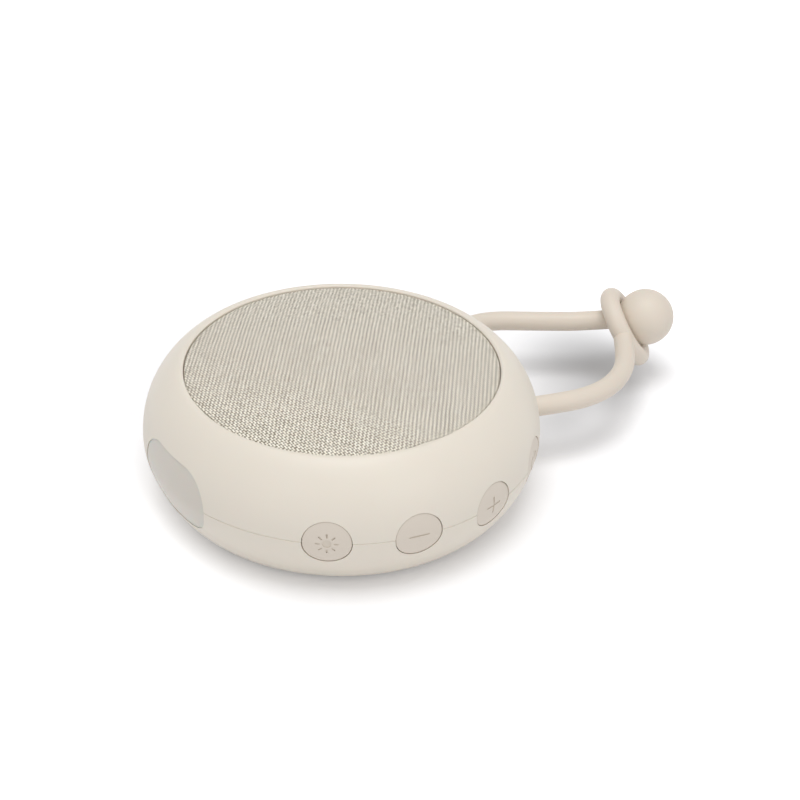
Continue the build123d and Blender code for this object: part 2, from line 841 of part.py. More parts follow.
# ---------------------------------------------------------------- speaker
def turned(*points):
    """A solid of revolution about +Z from a closed outline of (radius, height) points."""
    with BuildPart() as piece:
        with BuildSketch(Plane.XZ):
            with BuildLine():
                Polyline(*points, close=True)
            make_face()
        revolve(axis=Axis.Z)
    return piece.part


with BuildPart() as speaker_gasket:
    with BuildSketch(Plane.XY.offset(flange_top)):
        Circle(flange_radius)
        Circle(speaker_opening_radius + gasket_gap, mode=Mode.SUBTRACT)
    extrude(amount=gasket_thickness)
save(speaker_gasket.part, "speaker_gasket")

with BuildPart() as speaker_frame:
    shelf_top = basket_floor_top + spider_shelf_rise
    shelf_inner = basket_floor_radius - spider_shelf_width
    add(
        turned(
            (top_plate_hole_radius, top_plate_top),
            (basket_floor_radius, top_plate_top),
            (basket_floor_radius, shelf_top),
            (flange_inner_radius + basket_wall, flange_bottom),
            (flange_radius, flange_bottom),
            (flange_radius, flange_top),
            (flange_inner_radius, flange_top),
            (flange_inner_radius, flange_bottom),
            (basket_floor_radius - basket_wall / 2, shelf_top),
            (shelf_inner, shelf_top),
            (shelf_inner, basket_floor_top),
            (top_plate_hole_radius, basket_floor_top),
        )
    )
    with BuildSketch(Plane.XY.offset(flange_bottom)):
        with ring_locations(ear_azimuths, ear_ring):
            Circle(ear_radius)
        for azimuth in ear_azimuths:
            with Locations(Location((*polar(azimuth, ear_ring / 2), 0), (0, 0, azimuth))):
                Rectangle(2 * ear_radius, ear_ring)
        Circle(flange_radius)
        Circle(flange_inner_radius + basket_wall, mode=Mode.SUBTRACT)
    extrude(amount=flange_thickness)
    # windows in the basket's cone
    window_middle = (shelf_top + flange_bottom) / 2
    for window in range(basket_window_count):
        with BuildSketch(radial_plane(360 / basket_window_count * window, 0, window_middle)):
            RectangleRounded(basket_window_width, basket_window_height, basket_window_round)
        extrude(amount=flange_inner_radius, mode=Mode.SUBTRACT)
    # tab for the terminals
    with BuildSketch(Plane.XY.offset(top_plate_top)):
        tab_place = polar(terminal_azimuth, basket_floor_radius + terminal_reach / 2 - basket_wall)
        with Locations(Location((*tab_place, 0), (0, 0, terminal_azimuth))):
            Rectangle(terminal_width, terminal_reach)
    extrude(amount=basket_floor_thickness)
    with BuildSketch(Plane.XY.offset(flange_bottom)):
        with ring_locations(ear_azimuths, ear_ring):
            Circle(speaker_screw_radius + screw_clearance)
    extrude(amount=flange_thickness, mode=Mode.SUBTRACT)
save(speaker_frame.part, "speaker_frame")

with BuildPart() as speaker_terminals:
    with BuildSketch(Plane.XY.offset(basket_floor_top)):
        strip_place = polar(terminal_azimuth, basket_floor_radius + terminal_reach / 2 - basket_wall / 2)
        with Locations(Location((*strip_place, 0), (0, 0, terminal_azimuth))):
            Rectangle(terminal_width - basket_wall, terminal_reach - basket_wall)
    extrude(amount=terminal_thickness)
save(speaker_terminals.part, "speaker_terminals")

with BuildPart() as top_plate:
    with BuildSketch(Plane.XY.offset(magnet_top)):
        Circle(top_plate_radius)
        Circle(top_plate_hole_radius, mode=Mode.SUBTRACT)
    extrude(amount=top_plate_thickness)
save(top_plate.part, "speaker_top_plate")

with BuildPart() as magnet:
    with BuildSketch(Plane.XY.offset(yoke_top)):
        Circle(magnet_radius)
        Circle(magnet_hole_radius, mode=Mode.SUBTRACT)
    extrude(amount=magnet_thickness)
save(magnet.part, "speaker_magnet")

with BuildPart() as yoke:
    with BuildSketch(Plane.XY.offset(yoke_top)):
        Circle(yoke_radius)
    extrude(amount=-yoke_thickness)
    with BuildSketch(Plane.XY.offset(yoke_top)):
        Circle(pole_radius)
    extrude(amount=top_plate_top - yoke_top)
save(yoke.part, "speaker_yoke")

with BuildPart() as coil:
    with BuildSketch(Plane.XY.offset(coil_bottom)):
        Circle(coil_outer_radius)
        Circle(coil_inner_radius, mode=Mode.SUBTRACT)
    extrude(amount=coil_height)
save(coil.part, "voice_coil")

cone_slope_radius = cone_rim_radius - cone_rim_width
save(
    turned(
        (coil_outer_radius, cone_neck_top - cone_thickness),
        (cone_slope_radius, cone_rim_top - cone_thickness),
        (cone_rim_radius, cone_rim_top - cone_thickness),
        (cone_rim_radius, cone_rim_top),
        (cone_slope_radius, cone_rim_top),
        (coil_outer_radius, cone_neck_top),
    ),
    "speaker_cone",
)

dust_cap_share = (dust_cap_radius - coil_outer_radius) / (cone_slope_radius - coil_outer_radius)
dust_cap_base = cone_neck_top + cone_depth * dust_cap_share
with BuildPart() as dust_cap:
    add(dome_form(dust_cap_radius, dust_cap_base, dust_cap_rise, dust_cap_base - cone_thickness))
    add(
        dome_form(
            dust_cap_radius - cone_thickness,
            dust_cap_base - cone_thickness,
            dust_cap_rise,
            dust_cap_base - 2 * cone_thickness,
        ),
        mode=Mode.SUBTRACT,
    )
    add(
        turned(
            (0, dust_cap_base - 2 * cone_thickness),
            (dust_cap_radius + cone_thickness, dust_cap_base - 2 * cone_thickness),
            (dust_cap_radius + cone_thickness, dust_cap_base + cone_thickness),
            (dust_cap_radius, dust_cap_base),
            (coil_outer_radius, cone_neck_top),
            (0, cone_neck_top),
        ),
        mode=Mode.SUBTRACT,
    )
save(dust_cap.part, "speaker_dust_cap")

# half-roll surround between the cone's rim and the frame's flange
with BuildPart() as surround:
    roll_inner = cone_rim_radius
    roll_outer = speaker_opening_radius - surround_land
    land_top = flange_top + surround_thickness
    roll_radius = (roll_outer - roll_inner) / 2
    roll_middle = (roll_outer + roll_inner) / 2
    with BuildSketch(Plane.XZ):
        with BuildLine():
            Polyline(
                (roll_inner, flange_top),
                (cone_slope_radius, flange_top),
                (cone_slope_radius, land_top),
                (roll_inner - surround_thickness / 2, land_top),
            )
            ThreePointArc(
                (roll_inner - surround_thickness / 2, land_top),
                (roll_middle, land_top + roll_radius),
                (roll_outer + surround_thickness / 2, land_top),
            )
            Polyline(
                (roll_outer + surround_thickness / 2, land_top),
                (speaker_opening_radius, land_top),
                (speaker_opening_radius, flange_top),
                (roll_outer, flange_top),
            )
            ThreePointArc(
                (roll_outer, flange_top),
                (roll_middle, flange_top + roll_radius),
                (roll_inner, flange_top),
            )
        make_face()
    revolve(axis=Axis.Z)
save(surround.part, "speaker_surround")

# corrugated disc that centres the coil
spider_inner = coil_outer_radius
spider_outer = basket_floor_radius - basket_wall / 2
spider_base = basket_floor_top + spider_shelf_rise
spider_step = (spider_outer - spider_shelf_width - spider_inner) / (2 * spider_waves)
lower_edge = [
    (spider_inner + i * spider_step, spider_base + spider_wave_height * (i % 2))
    for i in range(2 * spider_waves + 1)
]
lower_edge.append((spider_outer, spider_base))
upper_edge = [(radius, height + spider_thickness) for radius, height in reversed(lower_edge)]
save(turned(*lower_edge, *upper_edge), "speaker_spider")


# ---------------------------------------------------------------- inner leads and their connectors
def header_plane(azimuth, height):
    """The board-parallel plane at a connector, local y pointing inwards at the body's axis."""
    x, y = polar(azimuth, header_ring)
    inward = polar(azimuth, -1)
    return Plane(origin=(x, y, height), x_dir=(inward[1], -inward[0], 0), z_dir=(0, 0, 1))


header_azimuths = [battery_header_azimuth, speaker_header_azimuth, light_header_azimuth]
header_facings = [0.0, 0.0, 180.0]  # which way each connector's mouth turns from the axis
plug_inset = header_wall + plug_gap
with BuildPart() as lead_headers:
    for azimuth, facing in zip(header_azimuths, header_facings):
        plane = header_plane(azimuth, board_top).rotated((0, 0, facing))
        with BuildSketch(plane):
            Rectangle(header_width, header_depth)
        extrude(amount=header_height)
        with BuildSketch(plane.offset(header_wall)):
            with Locations((0, header_wall)):
                Rectangle(header_width - 2 * header_wall, header_depth)
        extrude(amount=header_height - 2 * header_wall, mode=Mode.SUBTRACT)
save(lead_headers.part, "lead_headers")

plug_height = header_height - 2 * plug_inset
with BuildPart() as lead_plugs:
    for azimuth, facing in zip(header_azimuths, header_facings):
        plane = header_plane(azimuth, board_top).rotated((0, 0, facing)).offset(plug_inset)
        with BuildSketch(plane):
            with Locations((0, (plug_inset + plug_stick_out) / 2)):
                Rectangle(header_width - 2 * plug_inset, header_depth + plug_stick_out - plug_inset)
        extrude(amount=plug_height)
save(lead_plugs.part, "lead_plugs")


def corner_radii(points):
    """The arc at each corner of a route, as large as a share of its shorter run allows."""
    radii = []
    for before, corner, after in zip(points, points[1:], points[2:]):
        first = Vector(*corner) - Vector(*before)
        second = Vector(*after) - Vector(*corner)
        half_turn = radians(first.get_angle(second) / 2)
        radii.append(strap_corner_share * min(first.length, second.length) / tan(half_turn))
    return radii


def bent_tube(points, radius, name):
    """A round tube along straight runs joined by tangent arcs."""
    radii = corner_radii(points)
    with BuildPart() as tube:
        with BuildLine() as route:
            FilletPolyline(*points, radius=radii)
        with BuildSketch(Plane(origin=points[0], z_dir=Vector(*points[1]) - Vector(*points[0]))):
            Circle(radius)
        sweep()
    length = sum(edge.length for edge in route.edges())
    expected = pi * radius**2 * length
    rounded = [round(value, 1) for value in radii]
    print(f"{name}: length {length:.1f}, radii {rounded}, volume {tube.part.volume / expected:.4f}")
    return tube.part


plug_face_reach = header_depth / 2 + plug_stick_out
lead_height = board_top + header_height / 2


def lead_start(azimuth, outwards, offset):
    """Where a lead leaves its plug, offset to one side, and its direction."""
    way = 1 if outwards else -1
    x, y = polar(azimuth, header_ring + way * plug_face_reach)
    side_x, side_y = polar(azimuth + 90, offset)
    direction = polar(azimuth, way)
    return (x + side_x, y + side_y, lead_height), direction


# each pair of leads: a short run out of the plug, then on to the battery, speaker or light
with BuildPart() as battery_leads:
    for offset in (lead_spacing / 2, -lead_spacing / 2):
        start, direction = lead_start(battery_header_azimuth, False, offset)
        turn = (start[0] + lead_run * direction[0], start[1] + lead_run * direction[1], lead_height)
        entry = battery_bottom + battery_thickness / 2
        last = (-battery_width / 2 - battery_lead_run, turn[1], entry)
        end = (-battery_width / 2, turn[1], entry)
        add(bent_tube([start, turn, last, end], lead_radius, "battery lead"))
save(battery_leads.part, "battery_leads")

with BuildPart() as speaker_leads:
    for offset in (lead_spacing / 2, -lead_spacing / 2):
        start, direction = lead_start(speaker_header_azimuth, False, offset)
        turn = (start[0] + lead_run * direction[0], start[1] + lead_run * direction[1], lead_height)
        solder_height = basket_floor_top + lead_radius / 3
        tip_reach = basket_floor_radius + terminal_reach - basket_wall
        side_x, side_y = polar(terminal_azimuth + 90, offset)
        tip_x, tip_y = polar(terminal_azimuth, tip_reach)
        last_x, last_y = polar(terminal_azimuth, tip_reach + terminal_lead_run)
        add(
            bent_tube(
                [
                    start,
                    turn,
                    (last_x + side_x, last_y + side_y, solder_height),
                    (tip_x + side_x, tip_y + side_y, solder_height),
                ],
                lead_radius,
                "speaker lead",
            )
        )
save(speaker_leads.part, "speaker_leads")

light_board_back = -(tray_back_radius - light_board_thickness)
with BuildPart() as light_leads:
    for offset in (lead_spacing / 2, -lead_spacing / 2):
        start, direction = lead_start(light_header_azimuth, True, offset)
        turn_y = (start[1] + light_board_back) / 2
        turn_x = start[0] + direction[0] * (turn_y - start[1]) / direction[1]
        add(
            bent_tube(
                [start, (turn_x, turn_y, lead_height), (turn_x, light_board_back, lead_height)],
                lead_radius,
                "light lead",
            )
        )
save(light_leads.part, "light_leads")

# ---------------------------------------------------------------- strap
for side, name in ((1, "ring"), (-1, "ball")):
    with BuildPart() as anchor:
        with BuildSketch(strap_plane(side, anchor_setback + anchor_thickness)):
            Circle(anchor_radius)
        extrude(amount=anchor_thickness)
        with BuildSketch(strap_plane(side, anchor_setback)):
            Circle(strap_radius)
        extrude(amount=anchor_setback)
    save(anchor.part, f"strap_{name}_anchor")

strap_starts = {side: tuple(strap_plane(side, 0).origin) for side in (1, -1)}
ring_cord = bent_tube([strap_starts[1], *ring_cord_bends, ring_cord_end], strap_radius, "ring cord")
save(ring_cord, "strap_ring_cord")

# the ring stands across its axis, with a short neck that its cord runs into
lean, turn_round = radians(ring_tilt), radians(ring_heading)
ring_axis = Vector(cos(lean) * sin(turn_round), cos(lean) * cos(turn_round), sin(lean))
ring_side = Vector(0, 0, 1).cross(ring_axis).normalized()
ring_plane = Plane(origin=ring_centre, x_dir=ring_side, z_dir=ring_axis)
joint_x = ring_radius * cos(radians(ring_joint_angle))
joint_y = ring_radius * sin(radians(ring_joint_angle))
ring_joint = ring_plane.from_local_coords(Vector(joint_x, joint_y, 0))
ring_cord_way = Vector(*ring_cord_end) - Vector(*ring_cord_bends[-1])
with BuildPart() as strap_ring:
    with BuildSketch(Plane(origin=ring_plane.origin, x_dir=ring_axis, z_dir=ring_side.cross(ring_axis))):
        with Locations((0, ring_radius)):
            Circle(strap_radius)
    revolve(axis=Axis(ring_centre, ring_axis))
    with BuildSketch(Plane(origin=ring_cord_end, z_dir=ring_cord_way)):
        Circle(strap_radius)
    extrude(amount=(ring_joint - Vector(*ring_cord_end)).length)
save(strap_ring.part, "strap_ring")

ball_centre = Vector(*ring_centre) + ring_axis * ball_offset
ball_cord_way = (ball_centre - Vector(*ball_cord_bends[-1])).normalized()
ball_cord_end = ball_centre - ball_cord_way * (ball_radius + ball_neck)
ball_cord = bent_tube(
    [strap_starts[-1], *ball_cord_bends, tuple(ball_cord_end)], strap_radius, "ball cord"
)
save(ball_cord, "strap_ball_cord")

with BuildPart() as strap_ball:
    with Locations(Location(tuple(ball_centre))):
        Sphere(ball_radius)
    with BuildSketch(Plane(origin=ball_cord_end, z_dir=ball_cord_way)):
        Circle(strap_radius)
    extrude(amount=ball_radius)
save(strap_ball.part, "strap_ball")
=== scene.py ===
import json
import math

import bmesh
import bpy
from mathutils import Matrix, Quaternion, Vector
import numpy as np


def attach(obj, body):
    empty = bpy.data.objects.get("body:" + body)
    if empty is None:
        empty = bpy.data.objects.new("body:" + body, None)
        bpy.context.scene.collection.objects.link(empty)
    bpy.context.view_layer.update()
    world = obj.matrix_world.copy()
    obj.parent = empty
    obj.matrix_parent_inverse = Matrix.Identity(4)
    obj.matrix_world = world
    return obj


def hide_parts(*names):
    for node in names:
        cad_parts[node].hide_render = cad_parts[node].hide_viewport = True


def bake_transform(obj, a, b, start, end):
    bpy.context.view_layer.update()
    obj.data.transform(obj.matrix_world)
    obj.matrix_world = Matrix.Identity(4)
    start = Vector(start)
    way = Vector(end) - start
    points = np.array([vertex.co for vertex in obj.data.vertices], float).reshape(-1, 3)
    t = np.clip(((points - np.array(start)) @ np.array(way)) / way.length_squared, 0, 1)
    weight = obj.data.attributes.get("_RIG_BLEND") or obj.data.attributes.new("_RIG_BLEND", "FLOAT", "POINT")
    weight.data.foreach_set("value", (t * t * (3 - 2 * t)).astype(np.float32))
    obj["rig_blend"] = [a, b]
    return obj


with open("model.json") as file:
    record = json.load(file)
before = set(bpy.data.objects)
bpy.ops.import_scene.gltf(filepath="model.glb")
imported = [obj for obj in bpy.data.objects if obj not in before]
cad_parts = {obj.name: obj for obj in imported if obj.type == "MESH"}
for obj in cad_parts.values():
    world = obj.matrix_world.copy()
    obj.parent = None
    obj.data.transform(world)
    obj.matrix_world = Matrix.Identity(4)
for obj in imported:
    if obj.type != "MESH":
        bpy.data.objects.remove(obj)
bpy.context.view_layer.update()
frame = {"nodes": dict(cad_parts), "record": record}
scene = bpy.context.scene
nodes = frame["nodes"]
MM = 0.001
FULL_TURN = 2 * math.pi
WHITE = (1, 1, 1, 1)
BLACK = (0, 0, 0, 1)


def linear(red, green, blue):
    """An sRGB colour of 0 to 255 as the linear values that a shader takes."""
    values = []
    for value in (red, green, blue):
        value /= 255
        values.append(value / 12.92 if value <= 0.04045 else ((value + 0.055) / 1.055) ** 2.4)
    return (*values, 1.0)


def add_object(name, data):
    """A new object, put into the scene."""
    thing = bpy.data.objects.new(name, data)
    scene.collection.objects.link(thing)
    return thing


def finished_mesh(name, form):
    """A mesh made from a bmesh, which is then let go."""
    mesh = bpy.data.meshes.new(name)
    form.to_mesh(mesh)
    form.free()
    return mesh


# ---------------------------------------------------------------- camera
# fitted to the photograph, which is 800 pixels wide
PICTURE_PIXELS = 800
FOCAL_PIXELS = 1862.1
SENSOR_WIDTH = 36  # mm

camera_data = bpy.data.cameras.new("camera")
camera_data.sensor_width = SENSOR_WIDTH
camera_data.lens = FOCAL_PIXELS / PICTURE_PIXELS * SENSOR_WIDTH
camera_data.clip_start = 0.01
camera_data.clip_end = 20
camera = add_object("camera", camera_data)
camera.rotation_mode = "QUATERNION"
camera.location = (0.32866, -0.213434, 0.279065)
camera.rotation_quaternion = Quaternion((0.7746598, 0.4260985, 0.2141832, 0.4152924))
scene.camera = camera


# ---------------------------------------------------------------- node graphs
class Graph:
    """The node tree of a material or a world, built from short calls."""

    def __init__(self, owner):
        owner.use_nodes = True
        self.tree = owner.node_tree

    def add(self, kind, **settings):
        """A new node with its settings."""
        node = self.tree.nodes.new(kind)
        for key, value in settings.items():
            setattr(node, key, value)
        return node

    def link(self, source, target):
        """A node's output, or a plain value, into an input."""
        if hasattr(source, "links"):
            self.tree.links.new(source, target)
        else:
            target.default_value = source

    def math(self, operation, *values, clamp=False):
        """An operation on outputs and numbers."""
        node = self.add("ShaderNodeMath", operation=operation, use_clamp=clamp)
        for value, socket in zip(values, node.inputs):
            self.link(value, socket)
        return node.outputs[0]

    def background_rays(self):
        """1 for rays that show the background: the camera's, and those off gloss or through glass."""
        path = self.add("ShaderNodeLightPath")
        seen = path.outputs["Is Camera Ray"]
        for ray in ("Is Glossy Ray", "Is Transmission Ray"):
            seen = self.math("MAXIMUM", seen, path.outputs[ray])
        return seen


class Surface(Graph):
    """A new material's node tree, around its Principled shader."""

    def __init__(self, name):
        self.material = bpy.data.materials.new(name)
        super().__init__(self.material)
        self.shader = self.tree.nodes["Principled BSDF"]
        self.place = self.add("ShaderNodeTexCoord").outputs["Object"]

    def set(self, **values):
        """Values that are the same all over, by the shader's socket names with _ for a space."""
        for socket, value in values.items():
            self.shader.inputs[socket.replace("_", " ")].default_value = value

    def colour(self, source):
        """What the base colour comes from."""
        self.link(source, self.shader.inputs["Base Color"])

    def noise(self, scale, detail):
        """Noise of a scale per metre."""
        node = self.add("ShaderNodeTexNoise")
        self.link(self.place, node.inputs["Vector"])
        node.inputs["Scale"].default_value = scale
        node.inputs["Detail"].default_value = detail
        return node.outputs["Fac"]

    def distance(self, x, y):
        """How far the surface is from a point of the floor, in metres."""
        node = self.add("ShaderNodeVectorMath", operation="DISTANCE")
        self.link(self.place, node.inputs[0])
        node.inputs[1].default_value = (x, y, 0)
        return node.outputs["Value"]

    def ramp(self, value, start, end):
        """A smooth rise from 0 at start to 1 at end."""
        node = self.add("ShaderNodeMapRange", interpolation_type="SMOOTHSTEP")
        self.link(value, node.inputs["Value"])
        node.inputs["From Min"].default_value = start
        node.inputs["From Max"].default_value = end
        return node.outputs["Result"]

    def mix(self, factor, first, second):
        """Two colours mixed: the first at 0, the second at 1."""
        node = self.add("ShaderNodeMix", data_type="RGBA")
        # its colour sockets, because the plain names also stand for those of numbers and vectors
        self.link(factor, node.inputs[0])
        self.link(first, node.inputs[6])
        self.link(second, node.inputs[7])
        return node.outputs[2]

    def patches(self, noise, edge, first, second):
        """Two colours in patches of a noise, with an edge that is wide or narrow."""
        return self.mix(self.ramp(noise, 0.5 - edge, 0.5 + edge), first, second)

    def bump(self, height, depth, strength):
        """Relief from a height of 0 to 1, which stands for a depth in metres."""
        node = self.add("ShaderNodeBump")
        self.link(height, node.inputs["Height"])
        node.inputs["Distance"].default_value = depth
        node.inputs["Strength"].default_value = strength
        self.link(node.outputs["Normal"], self.shader.inputs["Normal"])


# ---------------------------------------------------------------- moulded and machined finishes
TONE_SCALE = 60.0  # of the slow drift of tone, per metre
TONE_DETAIL = 3.0
TONE_EDGE = 0.2
GRAIN_DETAIL = 2.0
GRAIN_STRENGTH = 0.4
ROUGHNESS_SPREAD = 0.08
FIBRE_SCALE = 2500.0  # of pressed paper and cloth, per metre


def moulded(name, colour, roughness, drift=0.06, grain=9000.0, depth=0.00001, **sockets):
    """Moulded or machined stock: a slow drift of tone and a fine grain in the surface."""
    surface = Surface(name)
    base = linear(*colour)
    darker = (*[value * (1 - drift) for value in base[:3]], 1.0)
    surface.colour(surface.patches(surface.noise(TONE_SCALE, TONE_DETAIL), TONE_EDGE, base, darker))
    fine = surface.noise(grain, GRAIN_DETAIL)
    spread = surface.math("MULTIPLY_ADD", fine, ROUGHNESS_SPREAD, roughness - ROUGHNESS_SPREAD / 2)
    surface.link(spread, surface.shader.inputs["Roughness"])
    surface.bump(fine, depth, GRAIN_STRENGTH)
    surface.set(**sockets)
    return surface.material


# ---------------------------------------------------------------- woven finish
WEAVE_TURN = math.radians(57)
ALONG_STEP = (0.914, -0.297)  # mm from grain to grain, before that turn
ACROSS_STEP = (0.089, 0.906)
STRAY = 0.28  # mm, the span that the weave wanders over
STRAY_SCALE = 350.0
# how much each wave counts: along the two steps, and along their sum and their difference
ALONG_SHARE = 1.15
ACROSS_SHARE = 0.75
SUM_SHARE = 2.0
DIFFERENCE_SHARE = -1.35
GAP_FIELD = -3.0  # the waves' sum in the gaps between grains
CROWN_FIELD = 2.3  # and on the crowns of the grains
STRAND_SCALE = 1500.0
STRAND_TONE = 1.5
STRAND_HEIGHT = 0.25
YARN_SCALE = 900.0
YARN_EDGE = 0.15
YARN_COLOURS = (linear(252, 247, 235), linear(247, 240, 226))
# the gaps' colour is painted shade between the grains
GAP_PAINTED_SHADE = linear(128, 118, 100)


def woven(name):
    """Woven cloth: a skewed lattice of slanting grains, with painted shade darkening the gaps between them.
    """
    surface = Surface(name)
    wander = surface.noise(STRAY_SCALE, detail=2.0)
    stray = surface.math("MULTIPLY_ADD", wander, STRAY * MM, -STRAY / 2 * MM)
    split = surface.add("ShaderNodeSeparateXYZ")
    surface.link(surface.place, split.inputs[0])
    x = surface.math("ADD", split.outputs[0], stray)
    y = surface.math("ADD", split.outputs[1], stray)
    turn = Matrix.Rotation(WEAVE_TURN, 2)
    along = turn @ Vector([size * MM for size in ALONG_STEP])
    across = turn @ Vector([size * MM for size in ACROSS_STEP])
    area = along.x * across.y - along.y * across.x

    def steps(x_share, y_share):
        """Steps of the lattice counted in one direction."""
        return surface.math(
            "ADD",
            surface.math("MULTIPLY", x, x_share / area),
            surface.math("MULTIPLY", y, y_share / area),
        )

    u = steps(across.y, -across.x)
    v = steps(-along.y, along.x)
    # columns of grains, drawn out along one diagonal and parted along the other
    waves = (
        (u, ALONG_SHARE),
        (v, ACROSS_SHARE),
        (surface.math("ADD", u, v), SUM_SHARE),
        (surface.math("SUBTRACT", u, v), DIFFERENCE_SHARE),
    )
    field = 0.0
    for count, share in waves:
        wave = surface.math("COSINE", surface.math("MULTIPLY", count, FULL_TURN))
        field = surface.math("MULTIPLY_ADD", wave, share, field)
    height = surface.ramp(field, GAP_FIELD, CROWN_FIELD)
    strands = surface.noise(STRAND_SCALE, detail=1.0)
    uneven = surface.math("SUBTRACT", strands, 0.5)
    tone = surface.math("MULTIPLY_ADD", uneven, STRAND_TONE, height, clamp=True)
    yarn = surface.patches(surface.noise(YARN_SCALE, detail=1.0), YARN_EDGE, *YARN_COLOURS)
    # the low places between grains take the gaps' painted shade
    surface.colour(surface.mix(tone, GAP_PAINTED_SHADE, yarn))
    surface.set(Roughness=0.9, Sheen_Weight=0.15)
    relief = surface.math("MULTIPLY_ADD", strands, STRAND_HEIGHT, height)
    surface.bump(relief, depth=0.00012, strength=0.6)
    return surface.material


# ---------------------------------------------------------------- the finish of each material slot
dark_finish = moulded("dark_finish", (34, 34, 34), 0.55)
# the icons' colour, a little darker than the button's, is painted shade in the sunk icons
icon_painted_shade = moulded("icon_painted_shade", (215, 205, 191), 0.55, drift=0.012)
FINISH = {
    "shell_plastic": moulded("shell_finish", (229, 221, 208), 0.45, drift=0.012,
                             Subsurface_Weight=0.05, Subsurface_Scale=0.002),
    "grille_cloth": woven("cloth_finish"),
    "dark_plastic": dark_finish,
    "lens_plastic": moulded("lens_finish", (212, 206, 196), 0.4, drift=0.018,
                            Subsurface_Weight=0.3, Subsurface_Scale=0.003),
    "button_plastic": moulded("button_finish", (219, 209, 196), 0.5, drift=0.012),
    "switch_stem_plastic": dark_finish,
    "white_plastic": moulded("white_finish", (232, 232, 228), 0.45),
    "board_laminate": moulded("board_finish", (22, 84, 44), 0.35, drift=0.18),
    "plated_steel": moulded("steel_finish", (190, 190, 190), 0.3, Metallic=1.0),
    "ferrite": moulded("ferrite_finish", (48, 48, 50), 0.7, drift=0.18),
    "copper_winding": moulded("copper_finish", (196, 120, 74), 0.32, Metallic=1.0),
    "cone_paper": moulded("paper_finish", (40, 39, 38), 0.85, drift=0.24, grain=FIBRE_SCALE,
                          depth=0.00004),
    "spider_cloth": moulded("spider_finish", (186, 148, 84), 0.9, drift=0.24, grain=FIBRE_SCALE,
                            depth=0.00006),
    "soft_rubber": moulded("rubber_finish", (92, 89, 85), 0.7),
    "lead_insulation": moulded("lead_finish", (150, 32, 32), 0.45),
    "cell_wrap": moulded("cell_finish", (168, 170, 174), 0.3, Metallic=0.7),
    "strap_rubber": moulded("strap_finish", (224, 213, 199), 0.5, drift=0.018,
                            Subsurface_Weight=0.06, Subsurface_Scale=0.002),
}


def dress(data, slot):
    """The finish of a slot, all over a mesh or curve."""
    data.materials.clear()
    data.materials.append(FINISH[slot])


def new_piece(name, data, slot):
    """A piece with the finish of its slot, not yet on a body."""
    dress(data, slot)
    piece = add_object(name, data)
    return piece


for entry in frame["record"]["subparts"]:
    dress(nodes[entry["node"]].data, entry["material_slot"])


# ---------------------------------------------------------------- grille cloth
CLOTH_RADIUS = 39.2 * MM
CLOTH_EDGE = 34.0 * MM  # the height where the dome would meet the rim
CLOTH_RISE = 4.5 * MM
CLOTH_WRAP = 3.0 * MM
EDGE_ROUND = 0.6 * MM
DOME_STEPS = 60
EDGE_STEPS = 6
CLOTH_TURNS = 256  # steps all round


def cloth_profile():
    """Distances and heights from the crown out over the rounded edge and down the rim."""
    points = []
    flat = CLOTH_RADIUS - EDGE_ROUND
    for i in range(DOME_STEPS + 1):
        radius = flat * i / DOME_STEPS
        points.append((radius, CLOTH_EDGE + CLOTH_RISE * (1 - (radius / CLOTH_RADIUS) ** 2)))
    top = points[-1][1]
    for i in range(1, EDGE_STEPS + 1):
        angle = math.pi / 2 * i / EDGE_STEPS
        points.append((
            flat + EDGE_ROUND * math.sin(angle),
            top - EDGE_ROUND * (1 - math.cos(angle)),
        ))
    points.append((CLOTH_RADIUS, CLOTH_EDGE - CLOTH_WRAP))
    return points


def cloth_mesh():
    """The profile carried round the body's axis."""
    form = bmesh.new()
    profile = cloth_profile()
    crown = form.verts.new((0, 0, profile[0][1]))
    rings = []
    for radius, height in profile[1:]:
        ring = []
        for k in range(CLOTH_TURNS):
            angle = FULL_TURN * k / CLOTH_TURNS
            ring.append(form.verts.new((radius * math.cos(angle), radius * math.sin(angle), height)))
        rings.append(ring)
    for k in range(CLOTH_TURNS):
        after = (k + 1) % CLOTH_TURNS
        form.faces.new((crown, rings[0][k], rings[0][after]))
        for inner, outer in zip(rings, rings[1:]):
            form.faces.new((inner[k], outer[k], outer[after], inner[after]))
    for face in form.faces:
        face.smooth = True
    return finished_mesh("grille_cloth", form)


grille_cloth = new_piece("grille_cloth", cloth_mesh(), "grille_cloth")
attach(grille_cloth, "housing")
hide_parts("grille_fabric")

# ---------------------------------------------------------------- buttons with pressed icons
# this section's sizes are in mm and its angles in degrees
SEAM_HEIGHT = 16.6
FIRST_BUTTON_AZIMUTH = 53.1  # from -Y towards +X
BUTTON_PITCH = 25.3
FACE_RADIUS = 49.85  # of the caps' faces about the body's axis, at the seam
FACE_FALL = 0.055  # a face falls back by this times the square of the height from the seam
ICON_DEPTH = 0.16
CUTTER_RADIUS = 52  # where a cutter ends, clear of the faces
END_STEPS = 8
ROUND_STEPS = 28


def turned(points, angle):
    """Points turned about the icon's centre."""
    cosine = math.cos(math.radians(angle))
    sine = math.sin(math.radians(angle))
    return [(x * cosine - y * sine, x * sine + y * cosine) for x, y in points]


def arc(radius, start, end, steps=ROUND_STEPS):
    """Points of an arc about the icon's centre, both ends included."""
    angles = [math.radians(start + (end - start) * i / steps) for i in range(steps + 1)]
    return [(radius * math.cos(angle), radius * math.sin(angle)) for angle in angles]


def round_end(length, width):
    """The half round at the far end of a bar that lies along x."""
    middle = (length - width) / 2
    return [(middle + x, y) for x, y in arc(width / 2, -90, 90, END_STEPS)]


def bar(length, width, offset=0.0, angle=0.0):
    """A round-ended bar, moved along its length and then turned about the icon's centre."""
    end = round_end(length, width)
    outline = end + turned(end, 180)
    return turned([(x + offset, y) for x, y in outline], angle)


def cross(length, width):
    """Two round-ended bars crossed at right angles, as one outline."""
    arm = round_end(length, width) + [(width / 2, width / 2)]
    return [point for quarter in range(4) for point in turned(arm, 90 * quarter)]


def disc(radius):
    """A round spot."""
    return arc(radius, 0, 360)[:-1]


